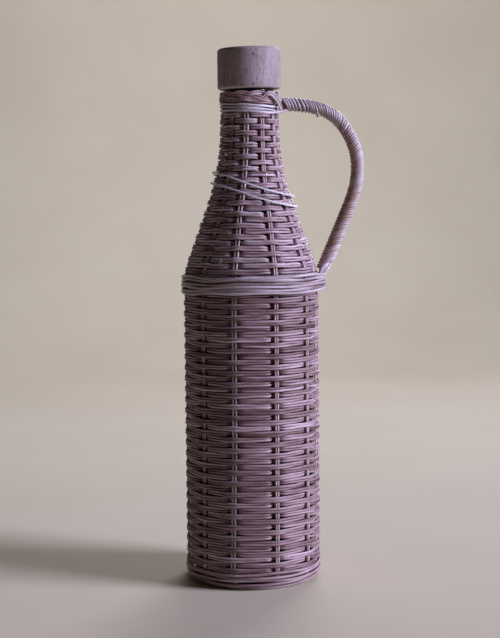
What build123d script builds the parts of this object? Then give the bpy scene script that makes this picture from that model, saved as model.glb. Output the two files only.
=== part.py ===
from build123d import *
from math import atan2, cos, pi, radians, sin, sqrt, tan
import os

os.makedirs("parts", exist_ok=True)

# Wine bottle in a woven wicker cover, with a cane-wound handle and a wooden stopper.
# Millimetres, +Z up. The origin is on the bottle's axis, on the plane it stands on.
# The handle lies in the XZ plane, on the +X side. Angles are counted from +X.

# Woven cover: stakes are pairs of upright rods, strands weave round them
strand_diameter = 1.55
rod_diameter = 1.5
rod_spacing = 1.8
crossing_clearance = 0.12
part_clearance = 0.1
body_strand_pitch = 1.59
upper_strand_pitch = 1.72
strands_per_row = 2
ridge_share = 0.3
channel_clearance = 0.1
band_gap = 0.08
stake_angles = (-165, -134, -104, -67, -38, -13, 13, 42, 71, 100, 129, 162)
stake_body_radius = 37.8
stake_neck_radius = 15.1
shoulder_corner_height = 182.2
neck_corner_height = 243.8
foot_bend_radius = 5.0
shoulder_bend_radius = 22.0
neck_bend_radius = 130.0
stake_inner_radius = 9.5
stake_top_height = 280.9
first_strand_height = 11.1
last_strand_height = 271.6

# Weave nodes: rows of strands from the foot upwards, in the order of their names
weave_rows = (
    ("body_weave_1", 7), ("body_weave_2", 7), ("body_weave_3", 7), ("body_weave_4", 7),
    ("body_weave_5", 7), ("body_weave_6", 7), ("body_weave_7", 7), ("shoulder_weave_1", 8),
    ("shoulder_weave_2", 8), ("neck_weave_1", 8), ("neck_weave_2", 8),
)

# Base coil, cut flat where the bottle stands on it
base_strand_diameter = 1.8
base_cut_depth = 0.5
base_coil_pitch = 2.4
base_first_radius = 3.0
base_start_widening = 0.45
base_half_turns = 24

# Foot wale
wale_diameter = 1.9
wale_pitch = 2.38
wale_turns = 4
wale_start_share = 0.3
wale_clearance = 0.2

# Shoulder band, which also holds the handle's lower tongue
band_diameter = 1.6
band_pitch = 2.15
band_turns = 5
band_start_angle = 100
band_start_height = 170.1
band_tilt = 0.9
band_bulge_half_angle = 30

# Binding round the top of the neck
binding_diameter = 1.85
binding_pitch = 2.35
binding_turns = 2.5
binding_start_angle = -60
binding_start_height = 272.6
binding_tilt = 0.5
binding_loose_end = 13.5

# Loose tie round the upper shoulder
tie_diameter = 1.3
tie_pitch = 5.3
tie_turns = 2.25
tie_start_angle = 60
tie_start_height = 230.8
tie_tilt = 7.0
tie_clearance = 0.45

# Border ring that closes the cover at the lip
border_inner_radius = 14.45
border_thickness = 3.55
border_height = 6.4
border_rounding = 1.5
border_base_height = 281.2

# Glass bottle
glass_clearance = 0.13
glass_wall = 2.6
glass_heel_radius = 4.0
punt_rise = 11.0
punt_radius = 25.0
lip_top_height = 288.3
finish_base_height = 279.9
finish_radius = 14.15
finish_rounding = 0.9
bore_radius = 9.25
bore_depth = 25.0
bore_taper_length = 3.0

# Stopper: a cork shank glued under a turned wooden head
cork_fit_clearance = 0.05
cork_length = 22.0
cork_chamfer = 0.8
head_radius = 18.5
head_height = 24.0
head_top_rounding = 2.4
head_bottom_chamfer = 0.7
head_seat_clearance = 0.05

# Handle: a bent rod with a whittled tongue at each end, wound with cane
handle_points = ((18.7, 281.4), (55.0, 268.9), (63.1, 243.0), (51.6, 203.9), (42.67, 182.55))
handle_directions = ((1.0, -0.02), (0.62, -0.785), (0.0, -1.0), (-0.385, -0.923), (-0.385, -0.923))
core_diameter = 5.5
tongue_overlap = 1.5
lower_tongue_diameter = 2.2
lower_tongue_bend = 8.0
lower_tongue_end_height = 171.8
upper_tongue_diameter = 1.3
upper_tongue_bend = 1.9
upper_tongue_height = 280.35
upper_tongue_end_height = 274.8
cane_diameter = 1.1
cane_clearance = 0.15
wrap_names = ("handle_wrap_upper", "handle_wrap_middle", "handle_wrap_lower")
wrap_turns = 24
wrap_top_margin = 1.6
wrap_bottom_margin = 2.9

# Derived values
lay = (strand_diameter + rod_diameter) / 2 + crossing_clearance
cover_depth = lay + strand_diameter / 2
cover_body_radius = stake_body_radius + cover_depth
rod_base_height = base_strand_diameter - base_cut_depth + part_clearance + rod_diameter / 2
cone_angle = atan2(stake_body_radius - stake_neck_radius, neck_corner_height - shoulder_corner_height)
glass_inset = cover_depth + glass_clearance
glass_base_height = rod_base_height + rod_diameter / 2 + glass_clearance
head_base_height = lip_top_height + head_seat_clearance
knots_per_turn = 4
sample_share = 0.25
neighbour_diameters = 4
step_share = 0.001


def save(name, shape):
    export_step(shape, f"parts/{name}.step")


def flat(x, z):
    """A point or direction in the XZ plane."""
    return Vector(x, 0, z)


def polar(radius, angle, height):
    """A point from its radius, its angle in degrees and its height."""
    return Vector(radius * cos(radians(angle)), radius * sin(radians(angle)), height)


def rounded_edges(points, radii):
    """Lines through the points, with an arc of the given radius at each inner point."""
    edges = []
    start = points[0]
    for before, corner, after, radius in zip(points, points[1:], points[2:], radii):
        back = (before - corner).normalized()
        onward = (after - corner).normalized()
        reach = radius / tan(radians(back.get_angle(onward) / 2))
        entry = corner + back * reach
        leave = corner + onward * reach
        edges.append(Edge.make_line(start, entry))
        edges.append(Edge.make_tangent_arc(entry, back * -1, leave))
        start = leave
    edges.append(Edge.make_line(start, points[-1]))
    return edges


def shoulder_corner(inset):
    """The corner of body and cone, on a line inside the stakes by the inset."""
    return flat(stake_body_radius - inset, shoulder_corner_height - inset * tan(cone_angle / 2))


def neck_corner(inset):
    """The corner of cone and neck, on a line inside the stakes by the inset."""
    return flat(stake_neck_radius - inset, neck_corner_height - inset * tan(cone_angle / 2))


def cover_outline(inset):
    """Points and bends of the stakes' line, moved inwards by the inset."""
    base = rod_base_height + inset
    points = [
        flat(stake_inner_radius, base), flat(stake_body_radius - inset, base),
        shoulder_corner(inset), neck_corner(inset), flat(stake_neck_radius - inset, stake_top_height),
    ]
    radii = (foot_bend_radius - inset, shoulder_bend_radius - inset, neck_bend_radius + inset)
    return points, radii


def cover_line(inset):
    """The stakes' line from under the base to the neck, moved inwards by the inset."""
    points, radii = cover_outline(inset)
    return Wire(rounded_edges(points, radii))


def tube(path, diameter):
    """A round rod along a path."""
    section = Plane(origin=path @ 0, z_dir=path % 0) * Circle(diameter / 2)
    return sweep(section, path=path)


def biarc(start, start_direction, end, end_direction, first, second):
    """Two arcs from start to end, with control handles of the given lengths."""
    total = first + second
    join = (start + start_direction * first) * (second / total)
    join = join + (end - end_direction * second) * (first / total)
    arc = Edge.make_tangent_arc(start, start_direction, join)
    return [arc, Edge.make_tangent_arc(join, arc % 1, end)]


def equal_handle(chord, start_direction, end_direction):
    """Length of both handles of a biarc, where they are equal."""
    square = chord.dot(chord)
    along = chord.dot(start_direction + end_direction)
    turn = 1 - start_direction.dot(end_direction)
    return square / (along + sqrt(along * along + 2 * turn * square))


def biarc_chain(points, directions):
    """Edges through the points in the given directions, two arcs between each two."""
    edges = []
    for start, end, leaving, arriving in zip(points, points[1:], directions, directions[1:]):
        handle = equal_handle(end - start, leaving, arriving)
        edges.extend(biarc(start, leaving, end, arriving, handle, handle))
    return edges


def winding(place, knots, diameter, first_end, last_end):
    """One unbroken tube through place(turn) at each knot, with straight ends."""
    points = [place(knot) for knot in knots]
    directions = []
    for knot in knots:
        directions.append((place(knot + step_share) - place(knot - step_share)).normalized())
    edges = [Edge.make_line(points[0] - directions[0] * first_end, points[0])]
    edges.extend(biarc_chain(points, directions))
    edges.append(Edge.make_line(points[-1], points[-1] + directions[-1] * last_end))
    return tube(Wire(edges), diameter), Wire(edges)


def even_knots(turns):
    """Knots a quarter turn apart."""
    return [knot / knots_per_turn for knot in range(round(turns * knots_per_turn) + 1)]


def print_gap(name, path, diameter):
    """Least gap between a winding's turns, measured on points along it."""
    count = round(path.length / (diameter * sample_share))
    skip = round(neighbour_diameters / sample_share)
    points = [tuple(path @ (index / count)) for index in range(count + 1)]
    least = path.length
    for index, (x, y, z) in enumerate(points):
        for other_x, other_y, other_z in points[index + skip:]:
            if abs(other_z - z) < least:
                apart = sqrt((other_x - x) ** 2 + (other_y - y) ** 2 + (other_z - z) ** 2)
                least = min(least, apart)
    print(f"{name}: least gap to itself {least - diameter:.3f} mm")


def save_winding(name, place, knots, diameter, first_end, last_end):
    solid, path = winding(place, knots, diameter, first_end, last_end)
    print_gap(name, path, diameter)
    save(name, solid)
    return solid


# Stakes

def stake_pair(angle):
    """Two rods side by side, from under the base up to the border."""
    rod = tube(cover_line(0), rod_diameter)
    sides = [Pos(0, side * rod_spacing / 2, 0) * rod for side in (-1, 1)]
    return Compound([Rot(0, 0, angle) * side for side in sides])


# Weave

def strand_stations():
    """Lengths along the stakes' line of every strand, from the foot upwards, and their pitches."""
    line = cover_line(0)
    foot_length = stake_body_radius - stake_inner_radius - foot_bend_radius + foot_bend_radius * pi / 2
    station = foot_length + first_strand_height - rod_base_height - foot_bend_radius
    stations = []
    while line.position_at(station, PositionMode.LENGTH).Z <= last_strand_height:
        on_body = line.position_at(station, PositionMode.LENGTH).Z < shoulder_corner_height
        pitch = body_strand_pitch if on_body else upper_strand_pitch
        stations.append((station, pitch))
        station += pitch
    return stations


def beside(line, station, offset):
    """A point beside the stakes' line, outwards by the offset."""
    spot = line.position_at(station, PositionMode.LENGTH)
    along = line.tangent_at(station, PositionMode.LENGTH)
    return spot + flat(along.Z, -along.X) * offset


def stake_channel():
    """The room that a pair of rods takes up, with clearance all round."""
    half = rod_diameter / 2 + channel_clearance
    outer_points, outer_radii = cover_outline(-half)
    inner_points, inner_radii = cover_outline(half)
    edges = rounded_edges(outer_points, outer_radii)
    edges.append(Edge.make_line(outer_points[-1], inner_points[-1]))
    edges.extend(rounded_edges(inner_points[::-1], inner_radii[::-1]))
    edges.append(Edge.make_line(inner_points[0], outer_points[0]))
    width = rod_spacing + 2 * half
    return Pos(0, width / 2, 0) * extrude(Face(Wire(edges)), amount=width, dir=(0, -1, 0))


def woven_band(stations, channels):
    """Rows of strands as one sleeve: a ridge for each strand, a channel for each stake pair."""
    line = cover_line(0)
    groove = cover_depth - strand_diameter * ridge_share
    starts = [station - pitch / 2 for station, pitch in stations]
    starts[0] += band_gap / 2
    starts.append(stations[-1][0] + stations[-1][1] / 2 - band_gap / 2)
    edges = []
    for (station, pitch), start, end in zip(stations, starts, starts[1:]):
        crest = beside(line, station, cover_depth)
        edges.append(Edge.make_three_point_arc(beside(line, start, groove), crest, beside(line, end, groove)))
    inside = [beside(line, start, -cover_depth) for start in reversed(starts)]
    points = [beside(line, starts[-1], groove)] + inside + [beside(line, starts[0], groove)]
    for start, end in zip(points, points[1:]):
        edges.append(Edge.make_line(start, end))
    sleeve = revolve(Face(Wire(edges)), Axis.Z, 360)
    return sleeve - channels


def save_weave():
    stations = strand_stations()
    wanted = sum(rows for name, rows in weave_rows) * strands_per_row
    print(f"strands that fit {len(stations)}, strands in the weave nodes {wanted}")
    channel = stake_channel()
    channels = [Rot(0, 0, angle) * channel for angle in stake_angles]
    first = 0
    for name, rows in weave_rows:
        last = first + rows * strands_per_row
        save(name, woven_band(stations[first:last], channels))
        first = last


# Windings round the cover

def base_coil():
    """A flat spiral of half turns, cut flat on the plane that the bottle stands on."""
    height = base_strand_diameter / 2 - base_cut_depth
    start = Vector(0, -base_strand_diameter / 2, height)
    end = Vector(0, base_strand_diameter / 2, height)
    edges = [Edge.make_line(start, end)]
    for index in range(base_half_turns):
        radius = base_first_radius + index * base_coil_pitch / 2
        radius += base_start_widening if index > 0 else 0
        heading = Vector(0, 1, 0) if index % 2 == 0 else Vector(0, -1, 0)
        across = Vector(-2 * radius, 0, 0) if index % 2 == 0 else Vector(2 * radius, 0, 0)
        edges.append(Edge.make_tangent_arc(end, heading, end + across))
        end = end + across
    heading = heading * -1
    edges.append(Edge.make_line(end, end + heading * base_strand_diameter))
    path = Wire(edges)
    print_gap("base_coil", path, base_strand_diameter)
    below = Pos(0, 0, -base_strand_diameter / 2) * Box(
        4 * stake_body_radius, 4 * stake_body_radius, base_strand_diameter)
    return tube(path, base_strand_diameter) - below


def wale_place():
    offset = rod_diameter / 2 + wale_clearance + wale_diameter / 2
    line = cover_line(-offset)
    bend = (foot_bend_radius + offset) * pi / 2
    start = stake_body_radius - stake_inner_radius - foot_bend_radius + bend * wale_start_share

    def place(turn):
        spot = line.position_at(start + turn * wale_pitch, PositionMode.LENGTH)
        return polar(spot.X, 360 * turn + 90, spot.Z)
    return place


def band_knots():
    """Knots a quarter turn apart, and closer where the band passes over the tongue."""
    bulge = band_bulge_half_angle / 360
    first_pass = (-band_start_angle / 360) % 1
    knots = [0, band_turns]
    for turn in range(band_turns):
        middle = turn + first_pass
        knots.extend([middle - bulge, middle, middle + bulge])
        knots.extend([middle + 0.25, middle + 0.5, middle + 0.75])
    return sorted(knot for knot in knots if 0 <= knot <= band_turns)


def band_place(turn):
    angle = band_start_angle + 360 * turn
    from_tongue = (angle + 180) % 360 - 180
    radius = cover_body_radius + part_clearance + band_diameter / 2
    share = max(0, 1 - abs(from_tongue) / band_bulge_half_angle)
    lift = lower_tongue_diameter + 5 * part_clearance
    radius += lift * (3 * share ** 2 - 2 * share ** 3)
    return polar(radius, angle, band_start_height + band_pitch * turn - band_tilt * sin(radians(angle)))


def binding_place(turn):
    angle = binding_start_angle - 360 * turn
    radius = stake_neck_radius + (rod_diameter + binding_diameter) / 2 + part_clearance
    height = binding_start_height + binding_pitch * turn - binding_tilt * sin(radians(angle))
    return polar(radius, angle, height)


def cover_radius_at(height):
    """Outer radius of the woven cover at a height on its cone or neck."""
    on_cone = shoulder_corner(-cover_depth)
    slope_radius = on_cone.X - (height - on_cone.Z) * tan(cone_angle)
    bend = neck_bend_radius - cover_depth
    corner = neck_corner(-cover_depth)
    rise = bend * tan(cone_angle / 2)
    above = corner.Z + rise - height
    if above <= 0:
        return corner.X
    if above < rise + rise * cos(cone_angle):
        return corner.X + bend - sqrt(bend * bend - above * above)
    return slope_radius


def tie_place(turn):
    angle = tie_start_angle + 360 * turn
    height = tie_start_height - tie_pitch * (tie_turns / 2 - turn) - tie_tilt * cos(radians(angle))
    radius = cover_radius_at(height) + tie_diameter / 2 + tie_clearance
    return polar(radius, angle, height)


# Glass

def glass_bottle():
    """A thin-walled bottle with a punt, shoulder, neck and finish ring, revolved."""
    outer_body = stake_body_radius - glass_inset
    outer = [
        flat(0, glass_base_height + punt_rise), flat(punt_radius / 2, glass_base_height + punt_rise),
        flat(punt_radius, glass_base_height), flat(outer_body, glass_base_height),
        shoulder_corner(glass_inset), neck_corner(glass_inset),
        flat(stake_neck_radius - glass_inset, finish_base_height),
        flat(finish_radius, finish_base_height), flat(finish_radius, lip_top_height),
        flat(bore_radius, lip_top_height),
    ]
    outer_radii = (
        punt_rise, glass_wall, glass_heel_radius, shoulder_bend_radius - glass_inset,
        neck_bend_radius + glass_inset, finish_rounding, finish_rounding, finish_rounding,
    )
    inset = glass_inset + glass_wall
    inner_floor = glass_base_height + glass_wall
    inner = [
        flat(bore_radius, lip_top_height), flat(bore_radius, lip_top_height - bore_depth),
        flat(stake_neck_radius - inset, lip_top_height - bore_depth - bore_taper_length),
        neck_corner(inset), shoulder_corner(inset), flat(stake_body_radius - inset, inner_floor),
        flat(punt_radius, inner_floor), flat(punt_radius / 2, inner_floor + punt_rise),
        flat(0, inner_floor + punt_rise),
    ]
    inner_radii = (
        finish_rounding, finish_rounding, neck_bend_radius + inset, shoulder_bend_radius - inset,
        glass_heel_radius, glass_wall, punt_rise,
    )
    edges = rounded_edges(outer, outer_radii) + rounded_edges(inner, inner_radii)
    edges.append(Edge.make_line(inner[-1], outer[0]))
    return revolve(Face(Wire(edges)), Axis.Z, 360)


# Border ring

def border_ring():
    middle = border_inner_radius + border_thickness / 2
    section = Plane.XZ * Pos(middle, border_base_height + border_height / 2) * RectangleRounded(
        border_thickness, border_height, border_rounding)
    return revolve(section, Axis.Z, 360)


# Stopper

def stopper_cork():
    radius = bore_radius - cork_fit_clearance
    shank = Pos(0, 0, head_base_height - cork_length / 2) * Cylinder(radius, cork_length)
    return chamfer(shank.edges().sort_by(Axis.Z)[0], cork_chamfer)


def stopper_head():
    head = Pos(0, 0, head_base_height + head_height / 2) * Cylinder(head_radius, head_height)
    head = fillet(head.edges().sort_by(Axis.Z)[-1], head_top_rounding)
    return chamfer(head.edges().sort_by(Axis.Z)[0], head_bottom_chamfer)


# Handle

def handle_line():
    points = [flat(x, z) for x, z in handle_points]
    directions = [flat(x, z).normalized() for x, z in handle_directions]
    edges = biarc_chain(points[:-1], directions[:-1])
    edges.append(Edge.make_line(points[-2], points[-1]))
    return Wire(edges)


def handle_core():
    """The bent rod, its lower tongue behind the band, its upper one behind the binding."""
    line = handle_line()
    foot = line @ 1
    heading = line % 1
    tongue_x = cover_body_radius + part_clearance + lower_tongue_diameter / 2
    corner = foot + heading * ((tongue_x - foot.X) / heading.X)
    lower = [foot - heading * tongue_overlap, corner, flat(tongue_x, lower_tongue_end_height)]
    top = line @ 0
    upper = [
        flat(top.X + tongue_overlap, upper_tongue_height), flat(stake_neck_radius, upper_tongue_height),
        flat(stake_neck_radius, upper_tongue_end_height),
    ]
    lower_tongue = tube(Wire(rounded_edges(lower, (lower_tongue_bend,))), lower_tongue_diameter)
    upper_tongue = tube(Wire(rounded_edges(upper, (upper_tongue_bend,))), upper_tongue_diameter)
    return tube(line, core_diameter) + lower_tongue + upper_tongue


def save_wraps():
    line = handle_line()
    radius = (core_diameter + cane_diameter) / 2 + cane_clearance
    room = line.length - wrap_top_margin - wrap_bottom_margin
    spaces = len(wrap_names) - 1
    pitch = room / (wrap_turns * len(wrap_names) + spaces)
    for index, name in enumerate(wrap_names):
        start = wrap_top_margin + index * (wrap_turns + 1) * pitch

        def place(turn):
            station = start + turn * pitch
            spot = line.position_at(station, PositionMode.LENGTH)
            along = line.tangent_at(station, PositionMode.LENGTH)
            inward = flat(along.Z, -along.X)
            around = Vector(0, 1, 0)
            angle = 2 * pi * turn
            return spot + (inward * cos(angle) + around * sin(angle)) * radius
        save_winding(name, place, even_knots(wrap_turns), cane_diameter, cane_diameter, cane_diameter)


save("glass_bottle", glass_bottle())
save("stopper_cork", stopper_cork())
save("stopper_head", stopper_head())
for number, stake_angle in enumerate(stake_angles, 1):
    save(f"stake_pair_{number:02d}", stake_pair(stake_angle))
save_weave()
save("base_coil", base_coil())
save("border_ring", border_ring())
save_winding("foot_wale", wale_place(), even_knots(wale_turns), wale_diameter, wale_diameter, wale_diameter)
save_winding("shoulder_band", band_place, band_knots(), band_diameter, band_diameter, band_diameter)
save_winding(
    "neck_binding", binding_place, even_knots(binding_turns), binding_diameter, binding_loose_end,
    binding_diameter)
save_winding("shoulder_tie", tie_place, even_knots(tie_turns), tie_diameter, tie_diameter, tie_diameter)
save("handle_core", handle_core())
save_wraps()
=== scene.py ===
import bpy
import numpy as np
from math import atan2, cos, pi, radians, sin, sqrt, tan
from mathutils import Matrix


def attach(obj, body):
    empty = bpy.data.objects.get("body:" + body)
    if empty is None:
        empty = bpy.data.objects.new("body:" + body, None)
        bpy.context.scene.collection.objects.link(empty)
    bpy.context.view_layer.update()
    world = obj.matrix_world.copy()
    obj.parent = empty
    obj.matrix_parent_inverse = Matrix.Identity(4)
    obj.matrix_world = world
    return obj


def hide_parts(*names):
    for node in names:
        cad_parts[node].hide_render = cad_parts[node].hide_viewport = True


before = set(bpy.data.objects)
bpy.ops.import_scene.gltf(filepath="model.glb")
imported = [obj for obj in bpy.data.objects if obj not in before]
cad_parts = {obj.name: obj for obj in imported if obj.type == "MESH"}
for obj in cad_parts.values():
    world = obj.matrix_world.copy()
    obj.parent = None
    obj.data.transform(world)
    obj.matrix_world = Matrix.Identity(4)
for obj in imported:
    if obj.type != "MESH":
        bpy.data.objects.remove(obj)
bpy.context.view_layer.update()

# Wine bottle in a woven wicker cover. Lengths are in millimetres until a mesh is made.
# Angles are in degrees from +X, and the camera looks along +Y.
MM = 0.001
rng = np.random.default_rng(4187)
upward = (0.0, 0.0, 1.0)
sideways = (0.0, 1.0, 0.0)
# Times a vector, this leaves its level part
level = (1, 1, 0)

# The cover's stakes and their line, as in the CAD model
strand_radius = 0.775
rod_radius = 0.75
rod_spacing = 1.8
lay = 1.645
cover_depth = 2.42
stake_angles = (-165, -134, -104, -67, -38, -13, 13, 42, 71, 100, 129, 162)
stake_body_radius = 37.8
stake_neck_radius = 15.1
cover_body_radius = stake_body_radius + cover_depth
shoulder_corner_height = 182.2
neck_corner_height = 243.8
bend_radii = (5.0, 22.0, 130.0)
stake_inner_radius = 9.5
stake_top_height = 280.9
rod_base_height = 2.15
first_strand_height = 11.1
body_strand_pitch = 1.59
upper_strand_pitch = 1.72
upper_rows = ("shoulder_weave_1", "shoulder_weave_2", "neck_weave_1", "neck_weave_2")
weave_rows = [(f"body_weave_{i}", 7) for i in range(1, 8)] + [(name, 8) for name in upper_rows]
# What to add to a height on the upright wall to get the length along the stakes' line
ground_station = (stake_body_radius - stake_inner_radius - rod_base_height
                  + bend_radii[0] * (pi / 2 - 2))
# Length of the line under the base, where a height can't tell the place
base_run = 30
bend_samples = 60
longest_step = 2


# Lines

def unit(vectors):
    return vectors / np.linalg.norm(vectors, axis=-1, keepdims=True)


def lengths_along(path):
    """Length from the start of a path to each of its points."""
    return np.r_[0, np.cumsum(np.linalg.norm(np.diff(path, axis=0), axis=1))]


def arc_points(start, heading, end, count):
    """Points on the arc that leaves start at the heading angle and reaches end, in a plane."""
    chord = end - start
    turn = (atan2(chord[1], chord[0]) - heading + pi) % (2 * pi) - pi
    if abs(turn) < 1e-6:
        return start + np.linspace(0, 1, count)[:, None] * chord, heading
    scale = np.hypot(*chord) / (2 * sin(turn))
    angles = heading + 2 * turn * np.linspace(0, 1, count)
    points = np.stack([np.sin(angles) - sin(heading), cos(heading) - np.cos(angles)], 1)
    return start + points * scale, heading + 2 * turn


class Line:
    """A plane line through many points, read by the length along it."""

    def __init__(self, points):
        points = np.array(points, float)
        keep = np.r_[True, np.hypot(*np.diff(points, axis=0).T) > 1e-6]
        self.points = points[keep]
        self.lengths = lengths_along(self.points)
        self.length = self.lengths[-1]
        self.tangents = unit(np.gradient(self.points, self.lengths, axis=0))

    def at(self, station, offset=0.0):
        """Points at the stations, set off to the right of the line, and their normals there."""
        place = [np.interp(station, self.lengths, self.points[:, i]) for i in (0, 1)]
        along = [np.interp(station, self.lengths, self.tangents[:, i]) for i in (0, 1)]
        normal = np.stack([along[1], -along[0]], -1)
        return np.stack(place, -1) + normal * np.asarray(offset)[..., None], normal

    def station_at(self, height):
        """Length along the line at a height, past its run under the base."""
        outer = self.lengths > base_run
        return np.interp(height, self.points[outer, 1], self.lengths[outer])


def rounded_line(corners, radii):
    """A line through corners with an arc at each inner one."""
    corners = np.array(corners, float)
    points = [corners[0]]
    for before, corner, after, radius in zip(corners, corners[1:], corners[2:], radii):
        back = unit(before - corner)
        onward = unit(after - corner)
        reach = radius / tan(np.arccos(back @ onward) / 2)
        heading = atan2(-back[1], -back[0])
        arc, _ = arc_points(corner + back * reach, heading, corner + onward * reach, bend_samples)
        points.extend(arc)
    points.append(corners[-1])
    dense = [points[0]]
    for start, end in zip(points, points[1:]):
        steps = max(1, int(np.hypot(*(end - start)) / longest_step))
        dense.extend(start + (end - start) * k / steps for k in range(1, steps + 1))
    return Line(dense)


stake_line = rounded_line([
    (stake_inner_radius, rod_base_height), (stake_body_radius, rod_base_height),
    (stake_body_radius, shoulder_corner_height), (stake_neck_radius, neck_corner_height),
    (stake_neck_radius, stake_top_height)], bend_radii)

# Height and angle of the stakes in front, where they lean a little
leaning_stakes = {
    -134: ((0, -138.5), (87, -136.5), (165, -136.2), (190, -135.2), (221, -132), (268, -132)),
    -104: ((0, -108.5), (40, -107), (87, -105.3), (165, -104.9), (193, -103.9), (218, -103.8),
           (241, -99.6), (268, -97)),
    -67: ((0, -69.2), (87, -68.6), (165, -68.6), (193, -68.2), (218, -65.6), (241, -64.3),
          (268, -62)),
    -38: ((0, -33.5), (165, -33.5), (218, -32), (241, -28.5), (268, -28.5)),
}


def by_table(value, table):
    """What a table of pairs gives for a value, in straight lines between its entries."""
    return np.interp(value, *zip(*table))


def stake_angle(index, height):
    angle = stake_angles[index]
    return by_table(height, leaning_stakes.get(angle, ((0, angle),)))


def polar(radius, angle, height):
    """Points from radius, angle in degrees and height."""
    turn = np.radians(angle)
    return np.stack(np.broadcast_arrays(radius * np.cos(turn), radius * np.sin(turn), height), -1)


def on_cover(station, offset, angle):
    """Points set off from the stakes' line, and the directions that lead out of the cover."""
    spots, normals = stake_line.at(station, offset)
    return polar(spots[:, 0], angle, spots[:, 1]), polar(normals[:, 0], angle, normals[:, 1])


def ripple(angle, size, low, high):
    """A closed seeded wave round the axis, with the given harmonics."""
    counts = np.arange(low, high + 1)
    phases = rng.uniform(0, 2 * pi, len(counts))
    sizes = rng.normal(0, 1, len(counts)) / sqrt(len(counts) / 2)
    return size * (sizes * np.sin(np.radians(angle)[..., None] * counts + phases)).sum(-1)


def ease(share):
    """A share from 0 to 1 that sets off and arrives gently."""
    return share * share * (3 - 2 * share)


def smooth_step(value, low, high):
    return ease(np.clip((value - low) / (high - low), 0, 1))


def drift(u, size, step):
    """A seeded smooth wander along an open strand, with a new value each step."""
    values = rng.normal(0, size, int(np.ptp(u) / step) + 4)
    spot = (u - u.min()) / step
    cell = spot.astype(int)
    share = ease(spot - cell)
    return values[cell] * (1 - share) + values[cell + 1] * share


def between_knots(knots, count):
    """Points on the straight runs from knot to knot."""
    spot = np.linspace(0, len(knots) - 1, count)
    return np.stack([np.interp(spot, np.arange(len(knots)), part) for part in zip(*knots)], 1)


def smooth_path(knots, count):
    """A smooth open path through about the given points."""
    path = between_knots(knots, count)
    pad = max(3, count // (len(knots) - 1)) // 2
    kernel = np.ones(2 * pad + 1) / (2 * pad + 1)
    padded = np.vstack([2 * path[:1] - path[pad:0:-1], path,
                        2 * path[-1:] - path[-2:-pad - 2:-1]])
    return np.stack([np.convolve(part, kernel, mode="valid") for part in padded.T], 1)


# Meshes of strands

# Share of the thickness at an open strand's last point and at the one before it
end_shares = (0.62, 0.9)
# Each strand has a place of its own in the noise of its material, within this reach
noise_reach = 400


class Bundle:
    """Strands that become one mesh, with a tone and a fibre direction in its points."""

    def __init__(self):
        self.points, self.loops, self.starts, self.tones, self.lays = [], [], [], [], []
        self.count = 0
        self.loop_count = 0

    def add_faces(self, faces):
        faces = np.asarray(faces)
        self.loops.append(faces.ravel())
        self.starts.append(self.loop_count + np.arange(len(faces)) * faces.shape[1])
        self.loop_count += faces.size

    def strand(self, path, width, depth, tone, outward=None, closed=False, sides=8,
               squareness=0.0, floor=None):
        """A strand along a path: half width across, half depth outward, or else off the axis."""
        if outward is None:
            outward = unit(path * level)
        count = len(path)
        share = np.ones(count)
        lays = np.zeros((count, sides, 3))
        if closed:
            along = unit(np.roll(path, -1, 0) - np.roll(path, 1, 0))
            lays[..., :2] = path[:, None, :2]
        else:
            along = unit(np.gradient(path, axis=0))
            lays[..., 0] = lengths_along(path)[:, None]
            share[[0, -1]], share[[1, -2]] = end_shares
        across = unit(np.cross(along, outward))
        out = np.cross(across, along)
        turn = (np.arange(sides) + 0.5) * 2 * pi / sides - pi / 2
        reach = 1 + squareness * np.sin(2 * turn) ** 2
        ring = (path[:, None]
                + across[:, None] * ((width * share)[:, None] * np.cos(turn) * reach)[..., None]
                + out[:, None] * ((depth * share)[:, None] * np.sin(turn) * reach)[..., None])
        if floor is not None:
            ring[..., 2] = np.maximum(ring[..., 2], floor)
        side = np.arange(sides)
        onward = (side + 1) % sides
        first = self.count + np.arange(count if closed else count - 1)[:, None] * sides
        following = first + sides
        if closed:
            following[-1] = self.count
        quads = np.stack([first + side, following + side, following + onward, first + onward], -1)
        self.add_faces(quads.reshape(-1, 4)[:, ::-1])
        if not closed:
            self.add_faces([self.count + side])
            self.add_faces([self.count + (count - 1) * sides + side[::-1]])
        lays[..., 2] = side * 2 * pi / sides * (strand_radius * 2) + rng.uniform(0, noise_reach)
        self.points.append(ring.reshape(-1, 3))
        self.tones.append(np.repeat(np.broadcast_to(tone, count), sides))
        self.lays.append(lays.reshape(-1, 3))
        self.count += count * sides

    def piece(self, name, material, replaces=()):
        """Makes the strands one mesh, and a piece that rides with the cover."""
        mesh = bpy.data.meshes.new(name)
        mesh.vertices.add(self.count)
        mesh.vertices.foreach_set("co", (np.concatenate(self.points) * MM).astype("f").ravel())
        mesh.loops.add(self.loop_count)
        mesh.loops.foreach_set("vertex_index", np.concatenate(self.loops).astype("i"))
        starts = np.concatenate(self.starts).astype("i")
        mesh.polygons.add(len(starts))
        mesh.polygons.foreach_set("loop_start", starts)
        mesh.polygons.foreach_set("use_smooth", np.ones(len(starts), bool))
        mesh.update(calc_edges=True)
        mesh.validate()
        tones = mesh.attributes.new("tone", "FLOAT", "POINT")
        tones.data.foreach_set("value", np.concatenate(self.tones).astype("f"))
        lays = mesh.attributes.new("lay", "FLOAT_VECTOR", "POINT")
        lays.data.foreach_set("vector", np.concatenate(self.lays).astype("f").ravel())
        mesh.materials.append(material)
        finished(placed(name, mesh), "root", replaces)


def placed(name, data):
    """A new object in the scene."""
    obj = bpy.data.objects.new(name, data)
    bpy.context.scene.collection.objects.link(obj)
    return obj


def smooth_object(name, points, faces, material):
    mesh = bpy.data.meshes.new(name)
    mesh.from_pydata(points, [], faces)
    mesh.polygons.foreach_set("use_smooth", np.ones(len(faces), bool))
    mesh.update()
    mesh.materials.append(material)
    return placed(name, mesh)


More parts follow.
